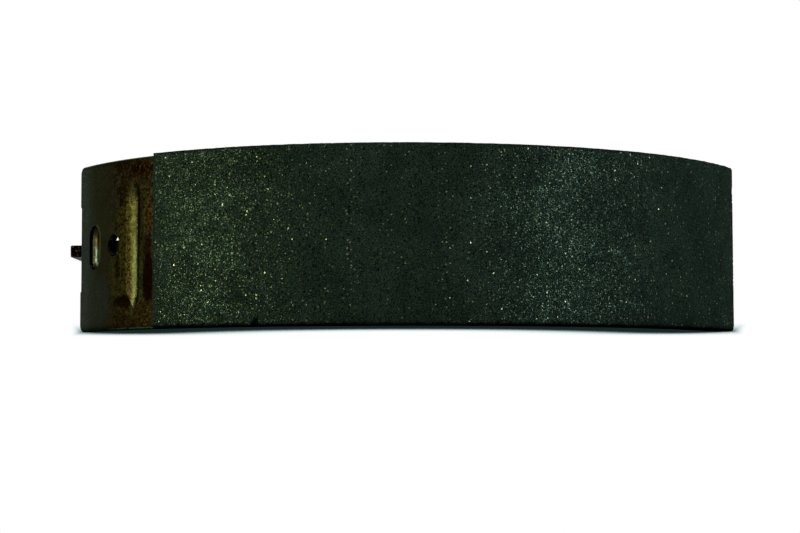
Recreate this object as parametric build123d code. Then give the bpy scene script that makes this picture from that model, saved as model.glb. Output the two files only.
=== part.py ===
from build123d import *
import math
import os

# A bonded drum brake shoe: a curved steel table, a flat web welded upright to
# the middle of its hollow side, and a friction lining bonded to its round side.
#
# Millimetres and degrees. +Z runs along the drum's axis and the crown of the
# shoe faces -Y. Every piece is drawn about the drum's centre and then moved, so
# that the finished shoe has the crown of its friction face at the origin.
# Angles round the drum are measured from -Y towards +X, so the bare end of the
# table, which is the toe of the shoe, lies at negative angles.

# --- The drum and the shoe's width ---
DRUM_RADIUS = 126.0
SHOE_WIDTH = 55.0

# --- Friction lining ---
LINING_THICKNESS = 5.0
LINING_START_ANGLE = -37.6
LINING_END_ANGLE = 63.7
LINING_EDGE_BREAK = 0.5

# --- Table ---
TABLE_THICKNESS = 2.9
TABLE_START_ANGLE = -61.3
TABLE_END_ANGLE = 66.5
TABLE_CORNER_RADIUS = 2.5
TABLE_EDGE_BREAK = 0.3
END_RECESS_WIDTH = 28.0
END_RECESS_DEPTH = 0.8

# --- Pressed and punched details at the table's bare end ---
POCKET_ANGLE = -55.6
POCKET_LENGTH = 14.5
POCKET_WIDTH = 7.6
POCKET_DEPTH = 2.1
POCKET_BEVEL_DEPTH = 0.9
POCKET_BEVEL_WIDTH = 1.55
BOSS_BEVEL = 0.6
HOLE_ANGLE = -49.5
HOLE_DIAMETER = 7.1
CREASE_ANGLE = -44.0
CREASE_LENGTH = 42.0
CREASE_RUN_OUT = 7.5
CREASE_DEPTH = 1.3
CREASE_FLANK_ANGLE = 24.0
CREASE_SHOULDER_RADIUS = 15.0
RIDGE_CROWN_RADIUS = 14.0
RIDGE_FLANK_ANGLE = 30.0

# --- Web ---
WEB_THICKNESS = 4.0
WEB_DEPTH = 26.0
WEB_EDGE_BREAK = 0.3
RELIEF_CLEARANCE = 0.5
RELIEF_CORNER_RADIUS = 1.0
NOSE_REACH = 6.9
NOSE_STEP = 4.2
NOSE_CORNER_RADIUS = 0.8
TOE_HEIGHT = 28.5
TOE_WIDTH = 34.5
TOE_SEAT_WIDTH = 15.0
TOE_ROOT_ANGLE = -46.0
STRUT_STEP = 3.0
STRUT_NOTCH_WIDTH = 7.0
STRUT_NOTCH_DEPTH = 8.0
STRUT_NOTCH_OFFSET = 5.5
STRUT_NOTCH_RADIUS = 1.2
HEEL_REACH = 2.5
HEEL_STEP = 3.0
HEEL_HEIGHT = 24.0
HEEL_WIDTH = 28.0
HEEL_ROOT_ANGLE = 49.0
END_CORNER_RADIUS = 3.0
BLOCK_CORNER_RADIUS = 6.0
ROOT_RADIUS = 12.0
THROAT_RADIUS = 1.5

# --- Holes in the web ---
HOLD_DOWN_DIAMETER = 9.0
HOLD_DOWN_ANGLE = 3.0
HOLD_DOWN_INSET = 14.0
SPRING_HOLE_DIAMETER = 6.0
SPRING_HOLE_INSET = 11.0
SPRING_HOLE_HEIGHT = 13.0
ADJUSTER_HOLE_DIAMETER = 5.0
ADJUSTER_HOLE_ANGLE = -27.0
ADJUSTER_HOLE_INSET = 18.0

# --- Welds ---
WELD_SIZE = 1.8
WELD_LENGTH = 6.0
WELD_END_BEVEL = 1.2
WELD_FIRST_ANGLE = -35.5
WELD_PITCH_ANGLE = 10.5
WELD_COUNT = 10
TOE_WELD_INSET = 3.6

# --- Radii that follow ---
LINING_OUTER = DRUM_RADIUS
TABLE_OUTER = LINING_OUTER - LINING_THICKNESS
TABLE_INNER = TABLE_OUTER - TABLE_THICKNESS
TABLE_MIDDLE = (TABLE_OUTER + TABLE_INNER) / 2
WEB_OUTER = TABLE_INNER
WEB_INNER = WEB_OUTER - WEB_DEPTH
CREASE_BLADE_RADIUS = (CREASE_RUN_OUT ** 2 + CREASE_DEPTH ** 2) / (2 * CREASE_DEPTH)
CREASE_STRAIGHT = CREASE_LENGTH - 2 * CREASE_RUN_OUT
TOOL_MARGIN = 4.0


def at(radius, angle):
    """The point at this radius and this angle round the drum, on the shoe's middle plane."""
    turn = math.radians(angle)
    return Vector(radius * math.sin(turn), -radius * math.cos(turn), 0)


def along(length, radius):
    """The angle that a length along an arc of this radius covers."""
    return math.degrees(length / radius)


def sector(inner_radius, outer_radius, start, end):
    """A flat piece of ring between two angles round the drum."""
    outer = CenterArc((0, 0, 0), outer_radius, start - 90, end - start)
    inner = CenterArc((0, 0, 0), inner_radius, start - 90, end - start)
    return make_face([outer, inner, Line(inner @ 0, outer @ 0), Line(inner @ 1, outer @ 1)])


def curved_plate(inner_radius, outer_radius, start, end, width):
    """A curved plate of even thickness, centred on the middle plane."""
    return extrude(sector(inner_radius, outer_radius, start, end), amount=width / 2, both=True)


def facing_out(radius, angle):
    """A plane that faces away from the drum's axis, with its x along the shoe's width."""
    return Plane(origin=at(radius, angle), x_dir=(0, 0, 1), z_dir=at(1, angle))


def blade_plane():
    """The plane across the crease through the middle of its blade's turned ends, with y inwards."""
    centre = at(TABLE_OUTER - CREASE_DEPTH + CREASE_BLADE_RADIUS, CREASE_ANGLE)
    return Plane(origin=centre, x_dir=at(1, CREASE_ANGLE + 90), z_dir=(0, 0, 1))


def blade_bar(profile):
    """A bar of this profile along the crease, whose ends turn up like the runners of a sledge."""
    plane = blade_plane()
    bar = extrude(plane * profile, amount=CREASE_STRAIGHT / 2, both=True)
    wheel = revolve(plane * profile, axis=Axis(plane.origin, plane.x_dir))
    for side in (-1, 1):
        bar += Pos(0, 0, side * CREASE_STRAIGHT / 2) * wheel
    return bar


def crease_blade():
    """The pressing blade: a sharp-edged bar with hollow flanks that roll the crease's shoulders."""
    flank = math.radians(CREASE_FLANK_ANGLE)
    half_width = CREASE_SHOULDER_RADIUS * math.sin(flank)
    drop = CREASE_SHOULDER_RADIUS * (1 - math.cos(flank))
    shoulder = CREASE_BLADE_RADIUS - drop
    root = shoulder - TOOL_MARGIN
    centre_y = shoulder + CREASE_SHOULDER_RADIUS
    right = CenterArc((half_width, centre_y), CREASE_SHOULDER_RADIUS,
                      270 - CREASE_FLANK_ANGLE, CREASE_FLANK_ANGLE)
    left = CenterArc((-half_width, centre_y), CREASE_SHOULDER_RADIUS, 270, CREASE_FLANK_ANGLE)
    back = Polyline((half_width, shoulder), (half_width, root), (-half_width, root),
                    (-half_width, shoulder))
    return blade_bar(make_face([right, left, back]))


def crease_ridge():
    """What the crease pushes out on the hollow side: a round ridge of the same length."""
    crown = CREASE_BLADE_RADIUS + TABLE_THICKNESS
    flank = math.radians(RIDGE_FLANK_ANGLE)
    half_width = RIDGE_CROWN_RADIUS * math.sin(flank)
    shoulder = crown - RIDGE_CROWN_RADIUS * (1 - math.cos(flank))
    root = shoulder - TOOL_MARGIN
    top = ThreePointArc((-half_width, shoulder), (0, crown), (half_width, shoulder))
    back = Polyline((half_width, shoulder), (half_width, root), (-half_width, root),
                    (-half_width, shoulder))
    reach = along(2 * half_width, TABLE_MIDDLE)
    limit = curved_plate(TABLE_INNER - TOOL_MARGIN, TABLE_MIDDLE, CREASE_ANGLE - reach,
                         CREASE_ANGLE + reach, CREASE_LENGTH + TOOL_MARGIN)
    return blade_bar(make_face([top, back])) & limit


def pocket_punch():
    """The punch of the blind pocket, with the bevelled nose that slopes its floor's edges."""
    plane = facing_out(TABLE_OUTER - POCKET_DEPTH, POCKET_ANGLE)
    punch = extrude(plane * SlotOverall(POCKET_LENGTH, POCKET_WIDTH), amount=POCKET_DEPTH + TOOL_MARGIN)
    nose = punch.faces().sort_by(Axis(plane.origin, plane.z_dir))[0]
    return chamfer(nose.edges(), POCKET_BEVEL_WIDTH, POCKET_BEVEL_DEPTH, reference=nose)


def pocket_boss():
    """The boss that the pocket pushes out on the hollow side."""
    plane = facing_out(TABLE_INNER - POCKET_DEPTH, POCKET_ANGLE)
    boss = extrude(plane * SlotOverall(POCKET_LENGTH, POCKET_WIDTH),
                   amount=TABLE_MIDDLE - TABLE_INNER + POCKET_DEPTH)
    nose = boss.faces().sort_by(Axis(plane.origin, plane.z_dir))[0]
    return chamfer(nose.edges(), BOSS_BEVEL)


def end_recess():
    """What the shallow recess takes from the end edge of the table at the toe."""
    depth = along(END_RECESS_DEPTH, TABLE_OUTER)
    return curved_plate(TABLE_INNER - TOOL_MARGIN, TABLE_OUTER + TOOL_MARGIN,
                        TABLE_START_ANGLE - depth, TABLE_START_ANGLE + depth, END_RECESS_WIDTH)


def table_blank():
    """The rolled steel strip, cut to its outline and with its outer edges broken."""
    blank = curved_plate(TABLE_INNER, TABLE_OUTER, TABLE_START_ANGLE, TABLE_END_ANGLE, SHOE_WIDTH)
    corners = [edge for edge in blank.edges().filter_by(GeomType.LINE)
               if abs(abs(edge.center().Z) - SHOE_WIDTH / 2) < TABLE_EDGE_BREAK]
    blank = fillet(corners, TABLE_CORNER_RADIUS)
    blank -= end_recess()
    outside = blank.faces().filter_by(GeomType.CYLINDER).sort_by(SortBy.AREA)[-1]
    return chamfer(outside.edges(), TABLE_EDGE_BREAK)


def make_table():
    """The table: the rolled strip with its crease, its blind pocket and its round hole."""
    table = table_blank() + crease_ridge() + pocket_boss()
    table -= crease_blade()
    table -= pocket_punch()
    return table - facing_out(TABLE_MIDDLE, HOLE_ANGLE) * Cylinder(HOLE_DIAMETER / 2, 3 * TABLE_THICKNESS)


def make_lining():
    """The friction lining: a curved block with its outer edges broken."""
    lining = curved_plate(TABLE_OUTER, LINING_OUTER, LINING_START_ANGLE, LINING_END_ANGLE, SHOE_WIDTH)
    outer_face = lining.faces().filter_by(GeomType.CYLINDER).sort_by(SortBy.AREA)[-1]
    return chamfer(outer_face.edges(), LINING_EDGE_BREAK)


def round_corner(outline, point, radius):
    """The outline with the corner nearest to this point rounded."""
    corner = outline.vertices().sort_by_distance(point)[0]
    return fillet(corner, radius)


def toe_block():
    """The toe of the web: the nose past the table's end, the seat and the strut notch."""
    table_end = at(WEB_OUTER, TABLE_START_ANGLE)
    left = table_end.X - NOSE_REACH
    right = left + TOE_WIDTH
    step = left + TOE_SEAT_WIDTH
    front = table_end.Y + NOSE_STEP
    seat = front + TOE_HEIGHT
    strut_seat = seat - STRUT_STEP
    root = at(WEB_INNER + BLOCK_CORNER_RADIUS, TOE_ROOT_ANGLE)
    block = make_face(Polyline((left, front), (left, seat), (step, seat), (step, strut_seat),
                               (right, strut_seat), (root.X, root.Y), (step, front), (left, front)))
    block = round_corner(block, (left, front), NOSE_CORNER_RADIUS)
    block = round_corner(block, (left, seat), END_CORNER_RADIUS)
    block = round_corner(block, (step, seat), END_CORNER_RADIUS / 2)
    block = round_corner(block, (right, strut_seat), BLOCK_CORNER_RADIUS)
    notch_middle = step + STRUT_NOTCH_OFFSET + STRUT_NOTCH_WIDTH / 2
    notch_floor = strut_seat - STRUT_NOTCH_DEPTH
    notch = Pos(notch_middle, strut_seat) * Rectangle(STRUT_NOTCH_WIDTH, 2 * STRUT_NOTCH_DEPTH)
    for side in (-1, 1):
        notch = round_corner(notch, (notch_middle + side * STRUT_NOTCH_WIDTH / 2, notch_floor),
                             STRUT_NOTCH_RADIUS)
    return block - notch


def heel_block():
    """The heel of the web, which seats on the anchor."""
    table_end = at(WEB_OUTER, TABLE_END_ANGLE)
    right = table_end.X + HEEL_REACH
    left = right - HEEL_WIDTH
    front = table_end.Y + HEEL_STEP
    seat = front + HEEL_HEIGHT
    root = at(WEB_INNER + BLOCK_CORNER_RADIUS, HEEL_ROOT_ANGLE)
    inside = right - HEEL_WIDTH / 2
    block = make_face(Polyline((right, front), (right, seat), (left, seat), (root.X, root.Y),
                               (inside, front), (right, front)))
    block = round_corner(block, (right, front), NOSE_CORNER_RADIUS)
    block = round_corner(block, (right, seat), END_CORNER_RADIUS)
    return round_corner(block, (left, seat), BLOCK_CORNER_RADIUS)


def round_relief(angle, width, depth):
    """A shallow round relief of this width and depth in the web's outer edge."""
    radius = ((width / 2) ** 2 + depth ** 2) / (2 * depth)
    centre = at(WEB_OUTER - depth + radius, angle)
    return Pos(centre.X, centre.Y) * Circle(radius)


def square_relief(angle, width, depth):
    """A relief with a flat floor and round corners in the web's outer edge."""
    mouth = at(WEB_OUTER, angle)
    relief = RectangleRounded(width, 2 * depth, RELIEF_CORNER_RADIUS)
    return Pos(mouth.X, mouth.Y) * Rot(0, 0, angle) * relief


def web_holes():
    """Each hole of the web as its centre and its diameter."""
    toe = at(WEB_OUTER, TABLE_START_ANGLE)
    heel = at(WEB_OUTER, TABLE_END_ANGLE)
    toe_side = toe.X - NOSE_REACH
    toe_front = toe.Y + NOSE_STEP
    heel_side = heel.X + HEEL_REACH
    heel_front = heel.Y + HEEL_STEP
    return [
        (at(WEB_OUTER - HOLD_DOWN_INSET, HOLD_DOWN_ANGLE), HOLD_DOWN_DIAMETER),
        (Vector(toe_side + SPRING_HOLE_INSET, toe_front + SPRING_HOLE_HEIGHT), SPRING_HOLE_DIAMETER),
        (Vector(heel_side - SPRING_HOLE_INSET, heel_front + SPRING_HOLE_HEIGHT), SPRING_HOLE_DIAMETER),
        (at(WEB_OUTER - ADJUSTER_HOLE_INSET, ADJUSTER_HOLE_ANGLE), ADJUSTER_HOLE_DIAMETER),
    ]


def web_outline():
    """The flat outline of the web, with its inside corners rounded and its holes cut."""
    outline = sector(WEB_INNER, WEB_OUTER, TABLE_START_ANGLE, TABLE_END_ANGLE) + toe_block() + heel_block()
    for end_angle, step in ((TABLE_START_ANGLE, NOSE_STEP), (TABLE_END_ANGLE, HEEL_STEP)):
        front = at(WEB_OUTER, end_angle).Y + step
        throat = at(front / at(1, end_angle).Y, end_angle)
        outline = round_corner(outline, throat, THROAT_RADIUS)
    for root_angle in (TOE_ROOT_ANGLE, HEEL_ROOT_ANGLE):
        outline = round_corner(outline, at(WEB_INNER, root_angle), ROOT_RADIUS)
    crease_room = 2 * RIDGE_CROWN_RADIUS * math.sin(math.radians(RIDGE_FLANK_ANGLE))
    pocket_room = POCKET_WIDTH + 2 * RELIEF_CLEARANCE
    outline -= round_relief(CREASE_ANGLE, crease_room, CREASE_DEPTH + RELIEF_CLEARANCE)
    outline -= square_relief(POCKET_ANGLE, pocket_room, POCKET_DEPTH + RELIEF_CLEARANCE)
    for centre, diameter in web_holes():
        outline -= Pos(centre.X, centre.Y) * Circle(diameter / 2)
    return outline


def make_web():
    """The web: a flat stamped crescent with both faces' edges broken."""
    web = extrude(web_outline(), amount=WEB_THICKNESS / 2, both=True)
    faces = web.faces().sort_by(Axis.Z)
    return chamfer(faces[0].edges() + faces[-1].edges(), WEB_EDGE_BREAK)


def weld_bead():
    """One weld bead above the web at the crown: a quarter-round run with bevelled ends."""
    half_sweep = along(WELD_LENGTH / 2, TABLE_INNER)
    start = at(TABLE_INNER, -half_sweep)
    corner = Plane(origin=(start.X, start.Y, WEB_THICKNESS / 2), x_dir=-at(1, -half_sweep),
                   z_dir=at(1, 90 - half_sweep))
    rim = CenterArc((0, 0), WELD_SIZE, 0, 90)
    section = make_face([rim, Line((0, 0), rim @ 0), Line((0, 0), rim @ 1)])
    bead = revolve(corner * section, axis=Axis.Z, revolution_arc=2 * half_sweep)
    crown = bead.faces().filter_by(GeomType.TORUS)[0]
    ends = [edge for edge in crown.edges().filter_by(GeomType.CIRCLE)
            if abs(edge.radius - WELD_SIZE) < WELD_END_BEVEL / 10]
    return chamfer(ends, WELD_END_BEVEL)


def weld_angles():
    """Where the welds lie: one at the toe's end, and an even row along the web."""
    row = [WELD_FIRST_ANGLE + WELD_PITCH_ANGLE * place for place in range(WELD_COUNT)]
    return [TABLE_START_ANGLE + along(TOE_WELD_INSET, TABLE_INNER)] + row


def make_welds():
    """The weld beads in the corners between the web and the table, on both sides of the web."""
    upper = weld_bead()
    beads = []
    for angle in weld_angles():
        turned = Rot(0, 0, angle) * upper
        beads += [turned, mirror(turned, about=Plane.XY)]
    return Compound(children=[bead.solid() for bead in beads])


def main():
    """Writes one STEP file for each piece of the shoe."""
    pieces = {
        "friction_lining": make_lining(),
        "shoe_table": make_table(),
        "shoe_web": make_web(),
        "weld_beads": make_welds(),
    }
    crown_at_origin = Pos(0, LINING_OUTER, 0)
    os.makedirs("parts", exist_ok=True)
    for name, drawn in pieces.items():
        shape = crown_at_origin * drawn
        print(name, shape.is_valid, len(shape.solids()), round(shape.volume, 1))
        export_step(shape, f"parts/{name}.step")


if __name__ == "__main__":
    main()
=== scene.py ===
import math

import bpy
from mathutils import Matrix, Vector


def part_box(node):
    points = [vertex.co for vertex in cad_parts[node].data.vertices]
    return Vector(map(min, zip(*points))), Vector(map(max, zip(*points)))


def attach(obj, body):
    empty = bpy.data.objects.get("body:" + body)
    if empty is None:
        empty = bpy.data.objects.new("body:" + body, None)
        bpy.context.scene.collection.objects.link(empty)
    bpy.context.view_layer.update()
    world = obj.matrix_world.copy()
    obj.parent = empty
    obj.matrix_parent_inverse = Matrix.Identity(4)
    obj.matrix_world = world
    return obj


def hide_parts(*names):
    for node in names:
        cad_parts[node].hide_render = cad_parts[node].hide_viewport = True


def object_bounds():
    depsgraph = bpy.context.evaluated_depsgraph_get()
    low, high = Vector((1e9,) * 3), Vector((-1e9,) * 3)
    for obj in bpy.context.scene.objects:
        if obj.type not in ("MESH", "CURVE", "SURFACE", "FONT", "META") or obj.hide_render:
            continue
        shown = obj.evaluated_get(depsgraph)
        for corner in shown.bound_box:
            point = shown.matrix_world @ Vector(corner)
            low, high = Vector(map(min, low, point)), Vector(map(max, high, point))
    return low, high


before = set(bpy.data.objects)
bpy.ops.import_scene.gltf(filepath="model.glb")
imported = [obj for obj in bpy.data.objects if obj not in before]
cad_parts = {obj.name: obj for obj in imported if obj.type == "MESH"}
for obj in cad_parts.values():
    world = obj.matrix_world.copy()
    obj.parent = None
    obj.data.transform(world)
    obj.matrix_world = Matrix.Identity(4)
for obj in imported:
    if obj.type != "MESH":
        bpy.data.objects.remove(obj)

bl_info = {
    "name": "Drum brake shoe",
    "version": (1, 0, 0),
    "blender": (4, 5, 0),
    "location": "3D View > Sidebar > Brake shoe",
    "description": "Dresses the pieces of a bonded drum brake shoe and sets its studio",
    "category": "Object",
}

MM = 0.001
CAD_BOX = [list(corner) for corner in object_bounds()]
LINING_LOW, LINING_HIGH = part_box("friction_lining")
WEB_LOW, WEB_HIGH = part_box("shoe_web")
DRUM_RADIUS = 126 * MM
LINING_THICKNESS = 5 * MM
TABLE_RADIUS = DRUM_RADIUS - LINING_THICKNESS
TABLE_THICKNESS = 2.9 * MM
TABLE_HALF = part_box("shoe_table")[1].z
POCKET_ANGLE = -55.6
POCKET_WIDTH = 7.6 * MM
POCKET_STRAIGHT = 14.5 * MM - POCKET_WIDTH
# angle of the painted highlight on the crease's flank
CREASE_HIGHLIGHT_ANGLE = -44.65
# the web's near-black nose fades out past these two places, one along X and one along Y
NOSE_BACK = WEB_LOW.x + 8 * MM
NOSE_ROOT = 74.5 * MM
# points of the meshes through the lining, and along and up the sides of a weld bead
LINING_LAYERS = 9
BEAD_LENGTH_POINTS = 61
BEAD_SIDE_POINTS = 9

BLACK = (0.0, 0.0, 0.0)
WHITE = (1.0, 1.0, 1.0)

# the stretch of the table's bare end with specks and streaks starts softly between these two angles round
# the drum
STAINED_FROM = (math.radians(-52.0), math.radians(-48.0))
# the outer face ends between these depths below the table's radius
FACE_DEPTHS = (1.5 * MM, 1.7 * MM)

# each soft lamp: its name, place, size, share of the lamp power and colour
LAMPS = (
    ("left_lamp", (-1.0, -0.45, 0.26), (0.20, 0.42), 1.0, (1.0, 1.0, 0.72)),
    ("right_lamp", (0.97, -0.56, 0.26), (0.16, 0.42), 1.05, (0.77, 0.83, 1.0)),
    ("back_lamp", (0.2, 1.2, 0.8), (0.8, 0.5), 1.8, WHITE),
)
LAMP_TARGET = (0.0, 0.04, 0.0)
SKY_COLOUR = (0.9, 0.95, 1.0)
SKY_STRENGTH = 0.3
SENSOR_WIDTH = 36.0
FLOOR_HALF = 3.0
FLOOR_FADE = (0.35, 1.1)
# two lines on the floor end the contact shade beside the shoe's ends: they mirror each other about
# SHADE_MIDDLE, lean outwards by SHADE_LEAN, and lie SHADE_ENDS from it at the depth SHADE_DEPTH
SHADE_MIDDLE = 3.4 * MM
SHADE_DEPTH = 69 * MM
SHADE_LEAN = 0.173
SHADE_ENDS = (108.0 * MM, 113.0 * MM)
SHADE_SAMPLES = 16


# --- Small helpers for node trees ---

def feed(tree, node, inputs):
    """Gives a node its inputs, each a number, a colour or a socket to link."""
    for key, value in inputs.items():
        if isinstance(value, bpy.types.NodeSocket):
            tree.links.new(value, node.inputs[key])
        elif node.inputs[key].type == "RGBA":
            node.inputs[key].default_value = (*value, 1.0)
        else:
            node.inputs[key].default_value = value


def put(tree, kind, inputs=None, **settings):
    """Adds a node with its settings and inputs."""
    node = tree.nodes.new(kind)
    for name, value in settings.items():
        setattr(node, name, value)
    feed(tree, node, inputs or {})
    return node


def calc(tree, operation, *values, clamp=False):
    """A Math node's result."""
    node = put(tree, "ShaderNodeMath", dict(enumerate(values)), operation=operation, use_clamp=clamp)
    return node.outputs[0]


def plus(tree, first, second, clamp=False):
    """The sum of two values."""
    return calc(tree, "ADD", first, second, clamp=clamp)


def minus(tree, first, second, clamp=False):
    """The first value less the second."""
    return calc(tree, "SUBTRACT", first, second, clamp=clamp)


def times(tree, first, second, clamp=False):
    """The product of two values."""
    return calc(tree, "MULTIPLY", first, second, clamp=clamp)


def distance(tree, first, second):
    """The length of two values at right angles."""
    return calc(tree, "SQRT", plus(tree, calc(tree, "POWER", first, 2.0), calc(tree, "POWER", second, 2.0)))


def ramp(tree, value, low, high, out_low=0.0, out_high=1.0, kind="SMOOTHSTEP"):
    """The value carried from one range to another, and held at both ends."""
    numbers = dict(enumerate((value, low, high, out_low, out_high)))
    return put(tree, "ShaderNodeMapRange", numbers, interpolation_type=kind).outputs[0]


def blend(tree, factor, first, second, kind="MIX"):
    """Two colours mixed."""
    colours = {0: factor, 6: first, 7: second}
    return put(tree, "ShaderNodeMix", colours, data_type="RGBA", blend_type=kind).outputs[2]


def noise(tree, vector, scale, detail=3.0, rough=0.55, distort=0.0):
    """A Noise Texture's value."""
    return put(tree, "ShaderNodeTexNoise", {"Vector": vector, "Scale": scale, "Detail": detail,
                                            "Roughness": rough, "Distortion": distort}).outputs["Fac"]


def vector_calc(tree, operation, *values):
    """A Vector Math node's vector."""
    return put(tree, "ShaderNodeVectorMath", dict(enumerate(values)), operation=operation).outputs[0]


def scaled(tree, vector, factor):
    """A vector times a number."""
    return put(tree, "ShaderNodeVectorMath", {0: vector, "Scale": factor}, operation="SCALE").outputs[0]


def axes_of(tree, vector):
    """The X, Y and Z of a vector."""
    return put(tree, "ShaderNodeSeparateXYZ", {0: vector}).outputs


def point(tree, *values):
    """A vector from its X, Y and Z."""
    return put(tree, "ShaderNodeCombineXYZ", dict(enumerate(values))).outputs[0]


def attribute(tree, name):
    """A number that the mesh stores at each of its points."""
    return put(tree, "ShaderNodeAttribute", attribute_name=name, attribute_type="GEOMETRY").outputs["Fac"]


# --- Shared surface effects: what each group holds, and the table of groups ---

def fill_grain(tree, given):
    """Cast or coated grain: a mottle, a fine tooth and their height."""
    coarse = noise(tree, given["Vector"], calc(tree, "DIVIDE", 1000.0, given["Mottle Size"]), 5.0, 0.6, 0.6)
    fine = noise(tree, given["Vector"], calc(tree, "DIVIDE", 1000.0, given["Tooth Size"]), 2.0, 0.7)
    spread = times(tree, minus(tree, coarse, 0.5), given["Contrast"])
    height = plus(tree, times(tree, coarse, 0.6), times(tree, fine, 0.4))
    return plus(tree, spread, 0.5, clamp=True), fine, height


def fill_rim(tree, given):
    """Wear on broken edges: an edge mask eaten away by noise."""
    patch = noise(tree, given["Vector"], 450.0, 5.0, 0.7)
    kept = minus(tree, given["Edge"], times(tree, given["Break Up"], patch), clamp=True)
    return (times(tree, kept, 1.6, clamp=True),)


def fill_round(tree, given):
    """Where a point lies on the shoe: its run round the drum, depth below the table's face, and height."""
    axes = axes_of(tree, given["Vector"])
    towards = minus(tree, given["Drum Radius"], axes["Y"])
    angle = calc(tree, "ARCTAN2", axes["X"], towards)
    depth = minus(tree, given["Table Radius"], distance(tree, axes["X"], towards))
    return times(tree, angle, given["Table Radius"]), depth, axes["Z"]


def fill_patch(tree, given):
    """One patch, for a stain or for painted light: rounded about a centre, with an edge broken up by noise.
    """
    shares = []
    for label in ("Run", "Height"):
        away = minus(tree, given[label], given["Centre " + label])
        shares.append(calc(tree, "DIVIDE", away, given["Half " + label]))
    ragged = minus(tree, noise(tree, given["Vector"], 620.0, 7.0, 0.82), 0.5)
    edge = plus(tree, distance(tree, *shares), times(tree, ragged, times(tree, given["Break Up"], 3.0)))
    low = minus(tree, 1.0, given["Softness"])
    high = plus(tree, 1.0, given["Softness"])
    return (ramp(tree, edge, low, high, 1.0, 0.0),)


def fill_chips(tree, given):
    """Chips bound into a surface: a mask, a random shade and tint for each, and its own tilt."""
    cell = put(tree, "ShaderNodeTexVoronoi", {
        "Vector": given["Vector"], "Scale": calc(tree, "DIVIDE", 1000.0, given["Cell Size"])}).outputs
    random = put(tree, "ShaderNodeSeparateColor", {0: cell["Color"]}).outputs
    present = calc(tree, "LESS_THAN", random[0], given["Share"])
    radius = calc(tree, "DIVIDE", given["Chip Size"], given["Cell Size"])
    reach = times(tree, radius, ramp(tree, random[1], 0.0, 1.0, 0.45, 1.3))
    inside = ramp(tree, cell["Distance"], times(tree, reach, 0.6), reach, 1.0, 0.0)
    turned = put(tree, "ShaderNodeTexWhiteNoise", {"Vector": cell["Color"]}, noise_dimensions="3D")
    tilt = vector_calc(tree, "SUBTRACT", turned.outputs["Color"], (0.5, 0.5, 0.5))
    return times(tree, inside, present), random[1], random[2], tilt


# each group: its number inputs beside Vector, its outputs, and the function that fills it
EFFECTS = {
    "surface_grain": (("Mottle Size", "Tooth Size", "Contrast"), ("Mottle", "Tooth", "Height"), fill_grain),
    "rim_wear": (("Edge", "Break Up"), ("Wear",), fill_rim),
    "round_the_drum": (("Drum Radius", "Table Radius"), ("Run", "Depth", "Height"), fill_round),
    "coat_stain": (("Run", "Height", "Centre Run", "Centre Height", "Half Run", "Half Height", "Softness",
                    "Break Up"), ("Mask",), fill_patch),
    "bound_chips": (("Cell Size", "Chip Size", "Share"), ("Mask", "Random", "Tint", "Tilt"), fill_chips),
}


def effect_group(name):
    """A shared effect's node group, built on first use."""
    if name in bpy.data.node_groups:
        return bpy.data.node_groups[name]
    inputs, outputs, fill = EFFECTS[name]
    tree = bpy.data.node_groups.new(name, "ShaderNodeTree")
    tree.interface.new_socket("Vector", in_out="INPUT", socket_type="NodeSocketVector")
    for label in inputs:
        tree.interface.new_socket(label, in_out="INPUT", socket_type="NodeSocketFloat")
    for label in outputs:
        kind = "NodeSocketVector" if label == "Tilt" else "NodeSocketFloat"
        tree.interface.new_socket(label, in_out="OUTPUT", socket_type=kind)
    results = fill(tree, tree.nodes.new("NodeGroupInput").outputs)
    put(tree, "NodeGroupOutput", dict(zip(outputs, results)))
    return tree


def effect(tree, name, place, **sizes):
    """A shared effect placed in a material; the sizes' names are the group's inputs in small letters."""
    inputs = {label.replace("_", " ").title(): value for label, value in sizes.items()}
    return put(tree, "ShaderNodeGroup", {"Vector": place, **inputs}, node_tree=effect_group(name)).outputs


# --- Materials ---

def new_material(name):
    """A material with an empty Principled surface, and its Object coordinates."""
    material = bpy.data.materials.new(name)
    material.use_nodes = True
    tree = material.node_tree
    place = tree.nodes.new("ShaderNodeTexCoord").outputs["Object"]
    return material, tree, tree.nodes["Principled BSDF"], place


def bumped(tree, height, strength, depth):
    """The normal of a surface with this height."""
    inputs = {"Strength": strength, "Distance": depth, "Height": height}
    return put(tree, "ShaderNodeBump", inputs).outputs[0]


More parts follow.
